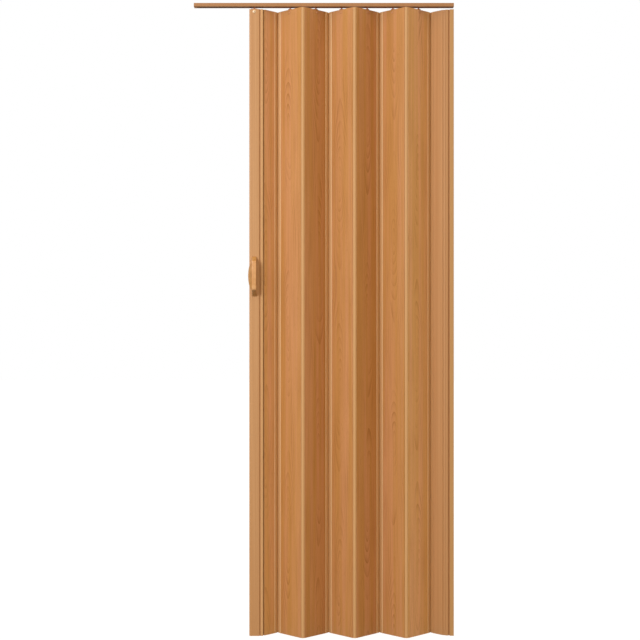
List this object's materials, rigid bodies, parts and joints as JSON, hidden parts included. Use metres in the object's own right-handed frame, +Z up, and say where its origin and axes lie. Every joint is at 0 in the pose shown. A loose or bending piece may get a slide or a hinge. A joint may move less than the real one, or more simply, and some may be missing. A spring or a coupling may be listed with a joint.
{
  "type": "folding door",
  "caption": "Accordion folding door of hollow slats with soft hinge strips, hung by gliders from a top rail, with a lead post, handles and a jamb channel.",
  "frame": {"origin": "middle of the rail's top face", "axes": "+Z up, +X along the rail towards the jamb channel, -Y is the front"},
  "size_m": [0.834, 0.0846, 2.03],
  "materials": {
    "wood_print": "satin PVC with a printed wood grain",
    "plain_tan": "satin PVC, plain tan with fine streaks",
    "soft_strip": "soft PVC, light tan",
    "rail": "satin PVC, brown",
    "moulded_brown": "moulded plastic, reddish brown",
    "lacquered_screw": "tan lacquer, glossy",
    "zinc_plated_steel": "zinc plated"
  },
  "bodies": {
    "root": {"top_rail": "rail", "jamb_channel": "plain_tan", "end_post": "plain_tan", "hinge_strip_9": "soft_strip"},
    "wall_panel": {"wall_panel": "plain_tan", "hinge_strip_8": "soft_strip"},
    "slat_6": {"slat_6": "wood_print", "hanger_6": "moulded_brown", "hanger_rivet_6": "moulded_brown", "hinge_strip_7": "soft_strip"},
    "slat_5": {"slat_5": "wood_print", "hanger_5": "moulded_brown", "hanger_rivet_5": "moulded_brown", "hinge_strip_6": "soft_strip"},
    "slat_4": {"slat_4": "wood_print", "hanger_4": "moulded_brown", "hanger_rivet_4": "moulded_brown", "hinge_strip_5": "soft_strip"},
    "slat_3": {"slat_3": "wood_print", "hanger_3": "moulded_brown", "hanger_rivet_3": "moulded_brown", "hinge_strip_4": "soft_strip"},
    "slat_2": {"slat_2": "wood_print", "hanger_2": "moulded_brown", "hanger_rivet_2": "moulded_brown", "hinge_strip_3": "soft_strip"},
    "slat_1": {"slat_1": "wood_print", "hanger_1": "moulded_brown", "hanger_rivet_1": "moulded_brown", "hinge_strip_2": "soft_strip"},
    "lead_panel": {"lead_panel": "wood_print", "hinge_strip_1": "soft_strip"},
    "lead_post": {"lead_post": "plain_tan", "lead_hanger": "moulded_brown", "lead_glider": "moulded_brown", "lead_hanger_screw": "lacquered_screw", "front_handle": "plain_tan", "rear_handle": "plain_tan", "handle_screw_upper": "zinc_plated_steel", "handle_screw_lower": "zinc_plated_steel"},
    "glider_1": {"glider_1": "moulded_brown"},
    "glider_2": {"glider_2": "moulded_brown"},
    "glider_3": {"glider_3": "moulded_brown"},
    "glider_4": {"glider_4": "moulded_brown"},
    "glider_5": {"glider_5": "moulded_brown"},
    "glider_6": {"glider_6": "moulded_brown"}
  },
  "joints": [
    {"name": "wall_hinge", "type": "hinge", "parent": "root", "child": "wall_panel", "pos_m": [0.387, 0, -1.025], "axis": [0, 0, -1], "range_deg": [-22.5, 35], "deforming": ["hinge_strip_9"]},
    {"name": "fold_7", "type": "hinge", "parent": "wall_panel", "child": "slat_6", "pos_m": [0.34574, 0.04013, -1.025], "axis": [0, 0, 1], "range_deg": [-45, 70], "deforming": ["hinge_strip_8"]},
    {"name": "fold_6", "type": "hinge", "parent": "slat_6", "child": "slat_5", "pos_m": [0.26322, -0.04013, -1.025], "axis": [0, 0, -1], "range_deg": [-45, 70], "deforming": ["hinge_strip_7"]},
    {"name": "fold_5", "type": "hinge", "parent": "slat_5", "child": "slat_4", "pos_m": [0.18069, 0.04013, -1.025], "axis": [0, 0, 1], "range_deg": [-45, 70], "deforming": ["hinge_strip_6"]},
    {"name": "fold_4", "type": "hinge", "parent": "slat_4", "child": "slat_3", "pos_m": [0.09817, -0.04013, -1.025], "axis": [0, 0, -1], "range_deg": [-45, 70], "deforming": ["hinge_strip_5"]},
    {"name": "fold_3", "type": "hinge", "parent": "slat_3", "child": "slat_2", "pos_m": [0.01565, 0.04013, -1.025], "axis": [0, 0, 1], "range_deg": [-45, 70], "deforming": ["hinge_strip_4"]},
    {"name": "fold_2", "type": "hinge", "parent": "slat_2", "child": "slat_1", "pos_m": [-0.06687, -0.04013, -1.025], "axis": [0, 0, -1], "range_deg": [-45, 70], "deforming": ["hinge_strip_3"]},
    {"name": "fold_1", "type": "hinge", "parent": "slat_1", "child": "lead_panel", "pos_m": [-0.1494, 0.04013, -1.025], "axis": [0, 0, 1], "range_deg": [-45, 70], "deforming": ["hinge_strip_2"]},
    {"name": "post_hinge", "type": "hinge", "parent": "lead_panel", "child": "lead_post", "pos_m": [-0.19066, 0, -1.025], "axis": [0, 0, -1], "range_deg": [-22.5, 35], "deforming": ["hinge_strip_1"]},
    {"name": "glider_swivel_1", "type": "hinge", "parent": "slat_1", "child": "glider_1", "pos_m": [-0.10814, 0, -0.0081], "axis": [0, 0, 1], "range_deg": [-22.5, 35]},
    {"name": "glider_swivel_2", "type": "hinge", "parent": "slat_2", "child": "glider_2", "pos_m": [-0.02561, 0, -0.0081], "axis": [0, 0, -1], "range_deg": [-22.5, 35]},
    {"name": "glider_swivel_3", "type": "hinge", "parent": "slat_3", "child": "glider_3", "pos_m": [0.05691, 0, -0.0081], "axis": [0, 0, 1], "range_deg": [-22.5, 35]},
    {"name": "glider_swivel_4", "type": "hinge", "parent": "slat_4", "child": "glider_4", "pos_m": [0.13943, 0, -0.0081], "axis": [0, 0, -1], "range_deg": [-22.5, 35]},
    {"name": "glider_swivel_5", "type": "hinge", "parent": "slat_5", "child": "glider_5", "pos_m": [0.22196, 0, -0.0081], "axis": [0, 0, 1], "range_deg": [-22.5, 35]},
    {"name": "glider_swivel_6", "type": "hinge", "parent": "slat_6", "child": "glider_6", "pos_m": [0.30448, 0, -0.0081], "axis": [0, 0, -1], "range_deg": [-22.5, 35]}
  ],
  "couplings": [
    {"joint": "fold_7", "follows": "wall_hinge", "ratio": 2},
    {"joint": "fold_6", "follows": "wall_hinge", "ratio": 2},
    {"joint": "fold_5", "follows": "wall_hinge", "ratio": 2},
    {"joint": "fold_4", "follows": "wall_hinge", "ratio": 2},
    {"joint": "fold_3", "follows": "wall_hinge", "ratio": 2},
    {"joint": "fold_2", "follows": "wall_hinge", "ratio": 2},
    {"joint": "fold_1", "follows": "wall_hinge", "ratio": 2},
    {"joint": "post_hinge", "follows": "wall_hinge", "ratio": 1},
    {"joint": "glider_swivel_1", "follows": "wall_hinge", "ratio": 1},
    {"joint": "glider_swivel_2", "follows": "wall_hinge", "ratio": 1},
    {"joint": "glider_swivel_3", "follows": "wall_hinge", "ratio": 1},
    {"joint": "glider_swivel_4", "follows": "wall_hinge", "ratio": 1},
    {"joint": "glider_swivel_5", "follows": "wall_hinge", "ratio": 1},
    {"joint": "glider_swivel_6", "follows": "wall_hinge", "ratio": 1}
  ]
}
